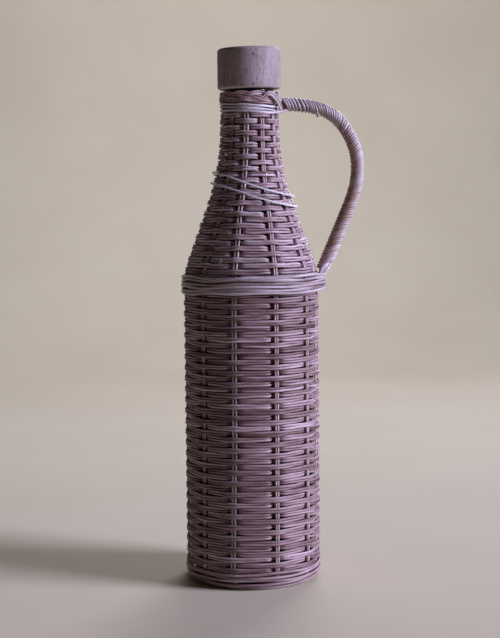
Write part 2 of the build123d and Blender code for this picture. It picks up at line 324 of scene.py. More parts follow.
def finished(obj, body, replaces):
    """Makes a piece ride with a body, and hides the CAD parts it replaces."""
    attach(obj, body)
    if replaces:
        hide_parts(*replaces)


# Materials

# The values that most of a noise lies between
noise_spread = (0.3, 0.7)


class Shader:
    """A node material, built up by short calls."""

    def __init__(self, name):
        self.material = bpy.data.materials.new(name)
        self.material.use_nodes = True
        self.tree = self.material.node_tree
        self.surface = self.tree.nodes["Principled BSDF"]

    def node(self, kind, inputs=(), **settings):
        node = self.tree.nodes.new(kind)
        for key, value in settings.items():
            setattr(node, key, value)
        for key, value in dict(inputs).items():
            self.give(node.inputs[key], value)
        return node

    def give(self, socket, value):
        if isinstance(value, bpy.types.NodeSocket):
            self.tree.links.new(value, socket)
        else:
            socket.default_value = value

    def set(self, **values):
        for key, value in values.items():
            self.give(self.surface.inputs[key.replace("_", " ")], value)

    def attribute(self, name, output):
        return self.node("ShaderNodeAttribute", attribute_name=name).outputs[output]

    def place(self):
        return self.node("ShaderNodeTexCoord").outputs["Object"]

    def scaled(self, vector, scale, shift=(0, 0, 0)):
        inputs = {"Vector": vector, "Scale": scale, "Location": shift}
        return self.node("ShaderNodeMapping", inputs).outputs["Vector"]

    def noise(self, vector, scale=1.0, detail=3.0, roughness=0.55, distortion=0.0):
        inputs = {"Vector": vector, "Scale": scale, "Detail": detail, "Roughness": roughness,
                  "Distortion": distortion}
        return self.node("ShaderNodeTexNoise", inputs).outputs["Fac"]

    def math(self, operation, first, second=0.0):
        return self.node("ShaderNodeMath", {0: first, 1: second}, operation=operation).outputs[0]

    def add(self, first, second):
        return self.math("ADD", first, second)

    def times(self, first, second):
        return self.math("MULTIPLY", first, second)

    def ranged(self, value, low, high, new_low=0.0, new_high=1.0):
        inputs = {"Value": value, "From Min": low, "From Max": high,
                  "To Min": new_low, "To Max": new_high}
        return self.node("ShaderNodeMapRange", inputs, clamp=True).outputs["Result"]

    def spread(self, noise, low, high):
        """A noise brought to the range from low to high."""
        return self.ranged(noise, *noise_spread, low, high)

    def ramp(self, value, stops):
        node = self.node("ShaderNodeValToRGB", {"Fac": value})
        elements = node.color_ramp.elements
        while len(elements) < len(stops):
            elements.new(0.5)
        for element, (position, color) in zip(elements, stops):
            element.position = position
            element.color = (*color, 1.0)
        return node.outputs["Color"]

    def mix(self, share, first, second, blend="MIX"):
        """The first color with a share of the second, which is a plain one."""
        node = self.node("ShaderNodeMix", data_type="RGBA", blend_type=blend)
        for index, value in ((0, share), (6, first), (7, (*second, 1.0))):
            self.give(node.inputs[index], value)
        return node.outputs[2]

    def bump(self, height, strength, distance):
        inputs = {"Height": height, "Strength": strength, "Distance": distance}
        self.give(self.surface.inputs["Normal"],
                  self.node("ShaderNodeBump", inputs).outputs["Normal"])


def fibre_material(name, stops, stain, roughness, stain_share=0.35):
    """Peeled rod or cane: streaks along the fibre, slow blotches, and each strand's own tone,
    which on the stakes and the handle also carries painted light and shade.
    """
    shader = Shader(name)
    fibre = shader.attribute("lay", "Vector")
    streaks = shader.noise(shader.scaled(fibre, (0.09, 0.09, 1.7)), detail=4.0, roughness=0.62)
    fine = shader.noise(shader.scaled(fibre, (0.35, 0.35, 5.5)), detail=2.0)
    blotches = shader.noise(shader.scaled(fibre, (0.055, 0.055, 0.21), (31, 7, 3)), detail=2.5)
    nicks = shader.noise(shader.scaled(fibre, (0.6, 0.6, 0.9), (5, 13, 29)), roughness=0.7)
    value = shader.add(shader.attribute("tone", "Fac"), shader.spread(blotches, -0.24, 0.24))
    value = shader.add(value, shader.spread(streaks, -0.17, 0.17))
    stained = shader.ranged(nicks, 0.60, 0.74, 0.0, stain_share)
    color = shader.mix(stained, shader.ramp(value, stops), stain)
    color = shader.mix(shader.ranged(fine, 0.35, 0.65, 0.0, 0.30), color, stain, "MULTIPLY")
    shader.set(Base_Color=color,
               Roughness=shader.spread(streaks, roughness - 0.1, roughness + 0.14))
    shader.bump(shader.add(streaks, shader.times(fine, 0.45)), strength=0.35, distance=0.0003)
    return shader.material


wicker = fibre_material("wicker_strand", (
    (0.0, (0.075, 0.036, 0.036)), (0.3, (0.20, 0.115, 0.12)), (0.55, (0.36, 0.235, 0.255)),
    (0.8, (0.52, 0.375, 0.42)), (1.0, (0.66, 0.53, 0.60))), (0.16, 0.07, 0.055), 0.46)
stake_rod = fibre_material("wicker_stake", (
    (0.0, (0.14, 0.075, 0.065)), (0.5, (0.46, 0.33, 0.33)), (1.0, (0.74, 0.62, 0.66))),
    (0.2, 0.09, 0.06), 0.45)
plaited = fibre_material("border_strand", (
    (0.0, (0.10, 0.045, 0.04)), (0.4, (0.29, 0.17, 0.17)), (0.7, (0.50, 0.36, 0.385)),
    (1.0, (0.72, 0.62, 0.70))), (0.2, 0.085, 0.055), 0.42)
light_cane = fibre_material("light_cane", (
    (0.0, (0.20, 0.13, 0.12)), (0.35, (0.42, 0.335, 0.345)), (0.7, (0.64, 0.57, 0.64)),
    (1.0, (0.84, 0.80, 0.90))), (0.30, 0.18, 0.12), 0.38, stain_share=0.2)
band_reed = fibre_material("band_reed", (
    (0.0, (0.13, 0.075, 0.07)), (0.35, (0.33, 0.235, 0.24)), (0.7, (0.55, 0.45, 0.50)),
    (1.0, (0.74, 0.67, 0.77))), (0.22, 0.12, 0.09), 0.42, stain_share=0.25)
handle_cane = fibre_material("handle_cane", (
    (0.0, (0.24, 0.105, 0.055)), (0.35, (0.43, 0.275, 0.215)), (0.65, (0.54, 0.43, 0.44)),
    (1.0, (0.72, 0.65, 0.74))), (0.27, 0.12, 0.065), 0.40, stain_share=0.3)
base_cane = fibre_material("base_cane", (
    (0.0, (0.10, 0.055, 0.045)), (0.5, (0.31, 0.205, 0.195)), (1.0, (0.52, 0.40, 0.40))),
    (0.1, 0.05, 0.035), 0.6)


def handle_rod_material():
    """Orange-brown willow rod: streaks along it and bark flecks. A low tone darkens it, which also
    carries painted shade.
    """
    shader = Shader("handle_rod_bark")
    fibre = shader.attribute("lay", "Vector")
    streaks = shader.noise(shader.scaled(fibre, (0.12, 0.12, 0.9)), detail=5.0, roughness=0.6)
    flecks = shader.noise(shader.place(), scale=700.0, roughness=0.7)
    value = shader.add(streaks, shader.times(shader.attribute("tone", "Fac"), 0.5))
    color = shader.ramp(value, (
        (0.4, (0.04, 0.018, 0.010)), (0.6, (0.10, 0.045, 0.022)), (0.75, (0.25, 0.135, 0.06)),
        (0.95, (0.42, 0.26, 0.12))))
    color = shader.mix(shader.ranged(flecks, 0.58, 0.7), color, (0.08, 0.03, 0.015))
    shader.set(Base_Color=color, Roughness=shader.spread(streaks, 0.42, 0.66))
    shader.bump(streaks, strength=0.4, distance=0.0004)
    return shader.material


def glass_material():
    """Dark green bottle glass with a faint waviness and dust."""
    shader = Shader("green_glass")
    place = shader.place()
    waves = shader.noise(shader.scaled(place, (38, 38, 16)), detail=2.0)
    dust = shader.noise(place, scale=900.0, detail=4.0, roughness=0.7)
    color = shader.ramp(waves, ((0.35, (0.018, 0.075, 0.03)), (0.65, (0.035, 0.12, 0.05))))
    shader.set(Base_Color=color, IOR=1.52, Transmission_Weight=0.85,
               Roughness=shader.ranged(dust, 0.45, 0.8, 0.04, 0.3))
    shader.bump(waves, strength=0.12, distance=0.002)
    return shader.material


def cork_material():
    """Cork with darker pores and a grain along its length."""
    shader = Shader("cork_shank")
    place = shader.place()
    grain = shader.noise(shader.scaled(place, (420, 420, 150)), detail=5.0, roughness=0.65)
    cells = {"Vector": shader.scaled(place, (380, 380, 210)), "Scale": 1.0, "Randomness": 1.0}
    pores = shader.node("ShaderNodeTexVoronoi", cells).outputs["Distance"]
    color = shader.ramp(grain, (
        (0.3, (0.30, 0.17, 0.085)), (0.5, (0.50, 0.32, 0.17)), (0.7, (0.64, 0.45, 0.27))))
    color = shader.mix(shader.ranged(pores, 0.0, 0.22, 0.85, 0.0), color, (0.13, 0.06, 0.03))
    shader.set(Base_Color=color, Roughness=shader.spread(grain, 0.7, 0.92))
    shader.bump(shader.add(pores, grain), strength=0.5, distance=0.0004)
    return shader.material


# The head's wood, in metres: middle of its rings, rings to a metre, and how they wander
ring_middle = (-0.009, 0.004)
ring_density = 820.0
ring_wander = 3.4
# Its knots, as place and size, how they draw the rings, and its paler lower rim
head_knots = (((0.0024, -0.0183, 0.3075), 0.0008), ((0.0021, -0.0184, 0.2905), 0.0008),
              ((-0.0060, 0.0176, 0.3010), 0.0012))
knot_pull = 1.1
pale_rim_heights = (0.2886, 0.2900)


def wood_material():
    """Turned softwood: upright grain, rings on its top, small knots, a paler lower rim."""
    shader = Shader("turned_wood")
    place = shader.place()
    warp = shader.noise(shader.scaled(place, (60, 60, 14)))
    parts = shader.node("ShaderNodeSeparateXYZ", {"Vector": place}).outputs
    east, north = (shader.add(parts[axis], -middle) for axis, middle in zip("XY", ring_middle))
    squares = shader.add(shader.times(east, east), shader.times(north, north))
    rings = shader.times(shader.math("POWER", squares, 0.5), ring_density)
    rings = shader.add(rings, shader.times(warp, ring_wander))
    near = 0.0
    for spot, size in head_knots:
        away = shader.node("ShaderNodeVectorMath", {0: place, 1: spot}, operation="DISTANCE")
        share = shader.ranged(away.outputs["Value"], size * 0.3, size * 2.2, 1.0, 0.0)
        near = shader.math("MAXIMUM", near, share)
    bands = shader.math("FRACT", shader.add(rings, shader.times(near, knot_pull)))
    bands = shader.math("ABSOLUTE", shader.add(bands, -0.72))
    bands = shader.ranged(bands, 0.0, 0.42, 1.0, 0.0)
    fibres = shader.noise(shader.scaled(place, (1500, 1500, 95)), detail=4.0, roughness=0.6)
    mottle = shader.noise(shader.scaled(place, (210, 210, 55)))
    flecks = shader.noise(shader.scaled(place, (1250, 1250, 330)), roughness=0.7, distortion=0.6)
    value = shader.add(shader.times(bands, 0.13), shader.spread(fibres, 0.0, 0.30))
    value = shader.add(value, shader.spread(mottle, -0.02, 0.20))
    value = shader.add(value, shader.ranged(flecks, 0.50, 0.66, 0.0, 0.46))
    color = shader.ramp(value, (
        (0.05, (0.39, 0.32, 0.335)), (0.35, (0.335, 0.26, 0.27)), (0.65, (0.24, 0.165, 0.165)),
        (0.95, (0.14, 0.08, 0.075))))
    color = shader.mix(shader.math("POWER", near, 1.6), color, (0.13, 0.055, 0.045))
    # the lower rim is paler all round
    rim = shader.ranged(parts["Z"], *pale_rim_heights, 0.55, 0.0)
    color = shader.mix(rim, color, (0.62, 0.50, 0.43))
    shader.set(Base_Color=color, Roughness=shader.spread(fibres, 0.54, 0.70))
    shader.bump(shader.add(fibres, flecks), strength=0.22, distance=0.0003)
    return shader.material


for node, material in (("glass_bottle", glass_material()), ("stopper_cork", cork_material())):
    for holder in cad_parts[node].material_slots:
        holder.material = material


# Weave

samples_per_span = 14
sample_crowding = 0.62
extra_rows = {"neck_weave_2": 1}
between_offset = 0.85
# Distances from a stake pair at which a strand is deepest and is up again, and their limits
left_dip = (2.75, 5.2)
right_dip = (1.5, 3.6)
left_limits = (0.64, 0.92)
right_limit = 0.9
# How far the stakes stand out, and the heights where that begins and ends, on body and cone
stake_stand = 0.5
stand_ranges = (((9, 14), (164, 169)), ((183, 188), (267, 272)))
over_stand_share = 0.85
# Gaps between rows: how often, how high, how far they reach, and how they shift the two strands
gap_chance = 0.72
gap_heights = (0.06, 0.52)
gap_reaches = (3.5, 11.0)
gap_above = (0.1, 0.3)
gap_below = (0.7, 0.3)
# Half thickness, added tone, reach over a stake pair, wander, and closeness of a row's strands
body_weave = (0.758, 0.0, 6.5, 0.075, 0.045)
upper_weave = (0.765, 0.15, 4.2, 0.10, 0.10)
weave_tone = (0.50, 0.13)
# Plain rings fill the places under the binding and under the border's plait
ring_angles = np.arange(0, 360, 3.0)
filler_size = (0.62, 0.6)
neck_filler_radius = 15.75
neck_filler_height = 275.2


def strand_stations():
    """Length along the stakes' line of each strand, from the foot upwards, and its pitch."""
    station = ground_station + first_strand_height
    stations = []
    for _ in range((sum(rows for _, rows in weave_rows) + sum(extra_rows.values())) * 2):
        on_body = stake_line.at(station)[0][1] < shoulder_corner_height
        pitch = body_strand_pitch if on_body else upper_strand_pitch
        stations.append((station, pitch))
        station += pitch
    return stations


def stake_dip(away, before, after):
    """How deep a strand is behind a stake pair: down early on the left, up close on the right."""
    near, far = (min(dip, limit * before) for dip, limit in zip(left_dip, left_limits))
    left = 1 - smooth_step(-away, near, far)
    right = 1 - smooth_step(away, right_dip[0], min(right_dip[1], right_limit * after))
    return np.where(away < 0, left, right)


def stake_rise(height):
    """How far the stakes stand out: not at the foot, the shoulder band and the binding."""
    return stake_stand * sum(smooth_step(height, *rise) * (1 - smooth_step(height, *fall))
                             for rise, fall in stand_ranges)


def add_weave_strand(bundle, index, station, pitch, gaps, reaches):
    """A closed strand that passes before and behind the stake pairs in turn."""
    row, second = divmod(index, 2)
    half_thickness, added_tone, over_width, wander, closeness = (
        upper_weave if pitch > body_strand_pitch else body_weave)
    radius, height = stake_line.at(station, lay)[0]
    angles = np.array([float(stake_angle(i, height)) for i in range(len(stake_angles))])
    spans = (np.roll(angles, -1) - angles) % 360
    arcs = np.radians(spans) * radius
    share = np.arange(samples_per_span) / samples_per_span
    share = share - sample_crowding / (2 * pi) * np.sin(2 * pi * share)
    phi = (angles[:, None] + spans[:, None] * share).ravel()
    offset = np.full(len(phi), between_offset)
    over = lay + over_stand_share * stake_rise(height)
    shift = ripple(phi, wander, 2, 16) + (-closeness if second else closeness)
    for stake, angle in enumerate(angles):
        away = np.radians((phi - angle + 180) % 360 - 180) * radius
        in_front = (stake + row) % 2 == 0
        gap = (row + 1 if in_front else row, stake)
        wedge = gaps[gap] * np.exp(-(away / reaches[gap]) ** 2)
        if in_front:
            offset += (over - between_offset) * np.exp(-(away / over_width) ** 2)
            shift -= wedge * gap_above[second]
        else:
            offset -= (between_offset + lay) * stake_dip(away, arcs[stake - 1], arcs[stake])
            shift += wedge * gap_below[second]
    path, outward = on_cover(station + shift, offset, phi)
    thick = half_thickness * (1 + ripple(phi, 0.045, 1, 9))
    tone = rng.normal(*weave_tone) + added_tone + ripple(phi, 0.05, 1, 5)
    bundle.strand(path, thick, np.minimum(thick, strand_radius), tone, outward, closed=True)


def make_weave():
    stations = strand_stations()
    shape = (len(stations) // 2 + 1, len(stake_angles))
    gaps = (rng.random(shape) < gap_chance) * rng.uniform(*gap_heights, shape)
    reaches = rng.uniform(*gap_reaches, shape)
    index = 0
    for name, row_count in weave_rows:
        bundle = Bundle()
        for _ in range((row_count + extra_rows.get(name, 0)) * 2):
            add_weave_strand(bundle, index, *stations[index], gaps, reaches)
            index += 1
        if name == weave_rows[-1][0]:
            height = neck_filler_height + ripple(ring_angles, 0.08, 2, 9)
            path = polar(neck_filler_radius, ring_angles, height)
            bundle.strand(path, *filler_size, 0.45, closed=True)
        bundle.piece(f"{name}_strands", wicker, replaces=[name])


# Rod radius and spacing of the stakes that differ, and the tones of a pair's two rods: painted
# light and shade, the rod on the right, seen from outside, is lighter as if lit from that side
stake_sizes = {-134: (0.66, 1.55), -67: (0.62, 1.42), -38: (0.68, 1.55)}
lit_and_shaded_rod_tones = ((-1, 0.46), (1, 0.66))
stake_margin = 0.4


def make_stakes():
    stations = np.linspace(stake_margin, stake_line.length - stake_margin, 120)
    heights = stake_line.at(stations)[0][:, 1]
    for index, nominal in enumerate(stake_angles):
        name = f"stake_pair_{index + 1:02d}"
        bundle = Bundle()
        size, spacing = stake_sizes.get(nominal, (rod_radius, rod_spacing))
        spots, _ = stake_line.at(stations, stake_rise(heights))
        angle = stake_angle(index, spots[:, 1])
        middle, outward = on_cover(stations, stake_rise(heights), angle)
        # painted light and shade: the right rod of each pair is lighter, the left one darker
        for side, tone in lit_and_shaded_rod_tones:
            path = middle + polar(1.0, angle + 90, 0.0) * side * spacing / 2
            thick = size * (1 + drift(stations, 0.03, 14))
            bundle.strand(path, thick, thick, tone + drift(stations, 0.08, 18), outward)
        bundle.piece(f"{name}_rods", stake_rod, replaces=[name])


# Windings round the cover

def make_base_coil():
    first_radius, pitch, start_angle, height = 1.9, 2.4, 90, 0.4
    half_width, half_depth = 0.98, 0.9
    bundle = Bundle()
    turn = np.linspace(0.0, 12.2, 620)
    path = polar(first_radius + pitch * turn, start_angle + 360 * turn,
                 height + drift(turn, 0.05, 0.3))
    width = half_width + drift(turn, 0.03, 0.2)
    bundle.strand(path, width, half_depth, 0.5 + drift(turn, 0.12, 0.35), upward, floor=0.0)
    bundle.piece("base_coil_cane", base_cane, replaces=["base_coil"])


def make_foot_wale():
    """Long strands round the foot that cross one another in slow lays."""
    strand_count, first_height, pitch, lays, lag = 6, 0.95, 1.72, 3, 2.3
    radius, offset, depth = 0.87, rod_radius + 1.15, 0.30
    bundle = Bundle()
    phi = np.arange(0, 360, 1.8)
    for strand in range(strand_count):
        phase = np.radians(phi) * lays + strand * lag
        swing = 0.38 * np.sin(phase) + 0.18 * np.sin(2 * phase + strand)
        station = ground_station + first_height + strand * pitch + swing
        station = station + ripple(phi, 0.08, 2, 9)
        path, outward = on_cover(station, offset + depth * np.cos(phase), phi)
        path[:, 2] = np.maximum(path[:, 2], radius)
        thick = radius * (1 + ripple(phi, 0.04, 1, 7))
        tone = rng.normal(0.52, 0.08) + ripple(phi, 0.08, 1, 6)
        bundle.strand(path, thick, thick * 0.9, tone, outward, closed=True, floor=0.02)
    bundle.piece("foot_wale_cane", wicker, replaces=["foot_wale"])


def make_shoulder_band():
    """Three rows of double reed, wavy, that pass over the handle's tongue.

    Away from the handle they lie further in and lower, and are flatter.
    """
    first_height, row_pitch, reed_pitch, tilt = 172.0, 3.62, 1.62, 0.9
    offset, half_width, depth_share = 0.9, 0.86, 0.86
    bulge_angle, bulge_lift, gather_height, gather, thinning = 30, 2.7, 180.1, 0.17, 0.08
    far_inset, far_drop, far_thinning = 0.34, 0.8, 0.36
    bundle = Bundle()
    phi = np.arange(0, 360, 2.0)
    from_tongue = (phi + 180) % 360 - 180
    bulge = ease(np.clip(1 - np.abs(from_tongue) / bulge_angle, 0, 1))
    far = ((1 - np.cos(np.radians(phi))) / 2) ** 2
    for row in range(3):
        swing = ripple(phi, 0.30, 2, 6)
        for reed in (-0.5, 0.5):
            height = first_height + row * row_pitch + reed * reed_pitch + swing
            below = gather_height - height - ripple(phi, 0.24, 2, 8)
            height = gather_height - below * (1 - gather * bulge)
            height = height - tilt * np.sin(np.radians(phi)) - far_drop * far ** 2
            radius = cover_body_radius + offset - far_inset * far + bulge_lift * bulge
            path = polar(radius + ripple(phi, 0.08, 2, 9), phi, height)
            thick = half_width * (1 + ripple(phi, 0.10, 2, 10)) * (1 - thinning * bulge)
            tone = rng.normal(0.60, 0.10) + ripple(phi, 0.12, 1, 6)
            bundle.strand(path, thick, thick * (depth_share - far_thinning * far), tone,
                          closed=True)
    bundle.piece("shoulder_band_reed", band_reed, replaces=["shoulder_band"])


def make_neck_binding():
    """Three turns of light reed, drawn down to the right, with a loose end to the handle."""
    first_height, pitch, tilt, start_angle = 274.75, 1.98, 1.0, -60
    radius, loose_length = stake_neck_radius + rod_radius + 0.82, 14.5
    half_width, half_depth = 0.75, 0.68
    bundle = Bundle()
    turns = np.linspace(-0.028, 2.74, 300)
    angle = start_angle - 360 * turns
    pinch = 0.32 * np.cos(np.radians(angle + 100))
    height = first_height + (pitch - pinch) * turns + pinch * 1.3
    height = height - tilt * np.cos(np.radians(angle)) + drift(turns, 0.16, 0.11)
    path = polar(radius + drift(turns, 0.05, 0.15), angle, height)
    steps = np.linspace(loose_length, 0.6, 16)[:, None]
    loose = path[0] + unit(path[0] - path[1]) * level * steps
    loose = loose + np.array(upward) * (0.0115 * steps ** 2 - 0.03 * steps)
    path = np.vstack([loose, path])
    u = lengths_along(path)
    width = half_width * (1 + drift(u, 0.09, 8))
    bundle.strand(path, width, half_depth, 0.70 + drift(u, 0.12, 14))
    bundle.piece("neck_binding_reed", light_cane, replaces=["neck_binding"])


def cover_radius_at(height):
    """Radius of the cover's outside at a height, found in a few steps."""
    station = stake_line.station_at(height)
    spots, _ = stake_line.at(station, cover_depth)
    for _ in range(4):
        station = station + height - spots[..., 1]
        spots, _ = stake_line.at(station, cover_depth)
    return spots[..., 0]


def make_tie():
    """Two loose turns of thin light cane round the upper shoulder."""
    turn_count, start_angle, middle_height, pitch, tilt = 2.25, 60, 230.6, 6.1, 8.6
    offset, half_width = 1.15, 0.59
    bundle = Bundle()
    turns = np.linspace(0, turn_count, 330)
    angle = start_angle + 360 * turns
    height = middle_height - pitch * (turn_count / 2 - turns) - tilt * np.cos(np.radians(angle))
    height = height + drift(turns, 0.3, 0.06)
    radius = cover_radius_at(height) + offset + np.abs(drift(turns, 0.12, 0.08))
    thick = half_width * (1 + drift(turns, 0.12, 0.025))
    bundle.strand(polar(radius, angle, height), thick, thick, 0.86 + drift(turns, 0.1, 0.06))
    bundle.piece("shoulder_tie_cane", light_cane, replaces=["shoulder_tie"])


# Border

# Open fillers below the plait: height and the angles of their ends
open_fillers = ((281.1, -140, 44), (280.0, -92, 36))
# Ends turned down at the front: angle, radius and lowest height
turned_ends = ((-16, 17.1, 280.4), (-25, 17.3, 280.6), (-34, 17.3, 280.9))
# The last pair of strands, led down towards the handle
last_pair = (
    (7.4, -13.9, 282.0), (9.0, -14.8, 283.9), (11.0, -14.8, 285.6), (13.0, -13.2, 285.0),
    (15.1, -11.4, 283.0), (16.9, -9.3, 280.6), (18.2, -7.4, 277.6), (18.7, -6.4, 275.6))
last_pair_spread = 0.7


def add_plait(bundle):
    """A pair of strands that goes round three times, crossing itself."""
    middle_radius, middle_height, start_angle, turns, rises = 16.25, 283.85, -26, 3, 10
    swing, depth, spread, size = 1.88, 0.78, 0.66, 0.70
    phi = np.arange(0, 360 * turns, 3.0)
    phase = np.radians(phi) * rises / turns
    deep = depth * np.sin(2 * phase)
    slope = swing * rises / turns * np.cos(phase) / middle_radius
    across = np.stack([-slope, np.ones(len(slope))], 1) / np.sqrt(1 + slope ** 2)[:, None]
    for side in (-1, 1):
        beside = side * spread * across
        angle = phi + np.degrees(beside[:, 0] / middle_radius) + start_angle
        radius = middle_radius + deep + ripple(phi / turns, 0.05, 2, 9)
        path = polar(radius, angle, middle_height + swing * np.sin(phase) + beside[:, 1])
        bundle.strand(path, size, size, 0.5 + ripple(phi / turns, 0.13, 1, 8), closed=True)


def make_border():
    """The plait round the lip, the fillers below it, and its last pair led to the handle."""
    filler_radius, filler_height = 16.35, 282.1
    open_radius, end_inset, end_angle = 16.45, 0.8, 12
    bundle = Bundle()
    add_plait(bundle)
    path = polar(filler_radius, ring_angles, filler_height + ripple(ring_angles, 0.12, 2, 9))
    bundle.strand(path, *filler_size, 0.42 + ripple(ring_angles, 0.1, 1, 9), closed=True)
    for height, start, end in open_fillers:
        phi = np.arange(start, end, 3.0)
        full = smooth_step(phi, start, start + end_angle)
        full = full * (1 - smooth_step(phi, end - end_angle, end))
        radius = open_radius - end_inset * (1 - full)
        path = polar(radius, phi, height + ripple(phi, 0.10, 4, 12))
        bundle.strand(path, *filler_size, 0.56 + ripple(phi, 0.1, 1, 9))
    for angle, radius, low in turned_ends:
        path = smooth_path([polar(radius - 0.9, angle - 4, 284.4), polar(radius, angle - 2, 283.2),
                            polar(radius, angle, 281.8), polar(radius - 0.1, angle + 1, low)], 20)
        bundle.strand(path, 0.72, 0.6, 0.55 + rng.normal(0, 0.08))
    for side in (-1, 1):
        path = smooth_path(last_pair, 44)
        outward = unit(path * level + (0, -14.0, 0))
        path = path + np.cross(unit(np.gradient(path, axis=0)), outward) * side * last_pair_spread
        bundle.strand(path, 0.74, 0.7, 0.78 + 0.08 * side, outward)
    bundle.piece("border_plait", plaited, replaces=["border_ring"])


# Handle

handle_points = ((18.7, 279.8), (54.1, 268.0), (63.1, 243.0), (51.4, 203.9), (42.5, 182.4))
handle_headings = ((1.0, -0.02), (0.62, -0.785), (0.0, -1.0), (-0.385, -0.923))


def handle_plane_line():
    """Pairs of arcs through the handle's points, and a straight run down to its foot."""
    points = np.array(handle_points)
    headings = unit(np.array(handle_headings))
    line = [points[0]]
    for start, end, leave, arrive in zip(points, points[1:], headings, headings[1:]):
        chord = end - start
        along = chord @ (leave + arrive)
        turn = 1 - leave @ arrive
        reach = chord @ chord / (along + sqrt(along * along + 2 * turn * (chord @ chord)))
        join = (start + leave * reach + end - arrive * reach) / 2
        first, heading = arc_points(start, atan2(leave[1], leave[0]), join, 40)
        second, _ = arc_points(join, heading, end, 40)
        line.extend(first[1:])
        line.extend(second[1:])
    line.extend(points[-2] + (points[-1] - points[-2]) * k / 12 for k in range(1, 13))
    return Line(line)


def in_handle_plane(spots):
    """Points or directions in the handle's plane, from their two coordinates there."""
    return np.stack([spots[:, 0], np.zeros(len(spots)), spots[:, 1]], 1)


handle_line = handle_plane_line()
core_radius = 2.75
wrap_names = ("upper", "middle", "lower")
wrap_turns = 24
wrap_depth = 0.66
wrap_clearance = 0.02
samples_per_turn = 22

# Thickness of the handle as a share of the usual one, by share of its length
fullness_table = ((0, 0.98), (0.12, 0.97), (0.3, 0.94), (0.5, 0.96), (0.85, 1.05), (1, 1.1))
# The rod is thicker near the root, where it shows, and tapers into its lower tongue
root_swelling = ((14, 0.72), (18, 0.0))
foot_taper = ((-7.0, 1.0), (-0.5, 0.45))
lower_tongue_x = cover_body_radius + 1.2
upper_tongue = ((20.4, 0, 279.6), (17.4, 0, 279.8), (15.6, 0, 279.2), (15.1, 0, 277.2),
                (15.1, 0, 275.0))


def handle_fullness(station):
    return by_table(station / handle_line.length, fullness_table)


def make_core():
    """The bent rod with a whittled tongue at each end."""
    bundle = Bundle()
    stations = np.linspace(0, handle_line.length, 110)
    full = core_radius * handle_fullness(stations) + by_table(stations, root_swelling)
    size = full * by_table(stations - handle_line.length, foot_taper)
    path = in_handle_plane(handle_line.at(stations, full - size)[0])
    # The rod's dark tone is partly its bark's own colour and partly painted shade in the gaps
    # between the turns
    bundle.strand(path, size, size, 0.40 + drift(stations, 0.1, 9), sideways, sides=20)
    foot = path[-1]
    heading = unit(path[-1] - path[-2])
    corner = foot + heading * ((lower_tongue_x - foot[0]) / heading[0])
    lower = smooth_path([foot - heading * 2, foot, corner, (lower_tongue_x, 0, 176.5),
                         (lower_tongue_x, 0, 172.0)], 40)
    # Painted shade: the lower tongue gets a very dark tone, so that it looks shaded where it shows
    # under the shoulder band
    bundle.strand(lower, 1.1, 1.1, 0.1, sideways, sides=12)
    bundle.strand(smooth_path(upper_tongue, 40), 0.65, 0.65, 0.55, sideways, sides=10)
    bundle.piece("handle_core_rod", handle_rod_material(), replaces=["handle_core"])


# Turns of cane so far and length along the handle: open turns near the root, then close ones
turn_table = (
    (-0.6, 1.9), (-0.25, 2.9), (0, 3.2), (0.75, 4.1), (1.75, 6.0), (2.75, 8.0), (3.75, 10.0),
    (4.75, 12.8), (5.75, 14.9), (6.75, 16.5), (7.75, 17.8), (8.75, 18.9), (9.75, 20.3),
    (10.75, 22.3), (75.25, handle_line.length - 4.2))
# By length along the handle: how the turns lean and curl, their half width, their tone and the
# painted shade on their inner sides
slant_table = (
    (1, 1.8), (15, 1.8), (25, 2.5), (30, 2.7), (37, 1.8), (43, 0.9), (48, 0.75), (55, 1.3),
    (69, 2.3), (84, 2.3), (97, 1.6), (112, 2.7), (126, 3.9))
curl_table = ((1, -0.2), (25, -0.1), (35, 0.0), (69, 0.1), (97, 0.15), (112, 0.3), (126, 0.4))
width_table = ((12, 0.80), (16, 0.70), (24, 0.72), (31, 0.83))
slant_narrowing = 0.03
inner_narrowing = 0.09
tone_table = ((0, 0.76), (30, 0.68), (60, 0.58), (95, 0.47), (116, 0.45), (126, 0.68))
# Painted shade: how much darker the inner side of each turn, towards the bottle, is
inner_painted_shade_table = ((1, 0.04), (25, 0.10), (42, 0.24), (128, 0.26))
# One turn stands off, and three strands lead off across the foot
loose_turn = 10.0
loose_turn_width = 0.15
loose_turn_height = 1.2
lead_size = (0.98, 0.6)
lead_middle = (42.6, 0, 184.0)
lead_strands = (
    ((45.2, 3.4, 188.6), (46.6, 2.4, 187.4), (47.0, 0.6, 186.4), (46.6, -1.4, 185.2),
     (45.6, -3.0, 183.7), (44.2, -4.0, 182.3), (42.8, -4.5, 181.0), (41.9, -4.7, 179.3)),
    ((46.2, -1.0, 187.6), (45.2, -2.6, 186.2), (43.8, -3.7, 184.6), (42.3, -4.3, 183.0),
     (41.2, -4.7, 181.4), (40.8, -4.9, 179.4)),
    ((45.0, -2.2, 187.4), (43.7, -3.4, 185.9), (42.1, -4.1, 184.3), (41.0, -4.6, 182.6),
     (40.5, -4.9, 180.0)))
# Where the windings begin in the CAD model, and what they leave free of the handle's length
wrap_start = 1.2
wrap_margins = 5.4


def wrap_limits():
    """Turns of cane at the ends of the three pieces, which meet where they do in the CAD model."""
    counts, stations = zip(*turn_table)
    pitch = (handle_line.length - wrap_margins) / (wrap_turns * 3 + 2)
    splits = [wrap_start + k * (wrap_turns + 1) * pitch for k in (1, 2)]
    return np.r_[counts[0], np.interp(splits, stations, counts), counts[-1]]


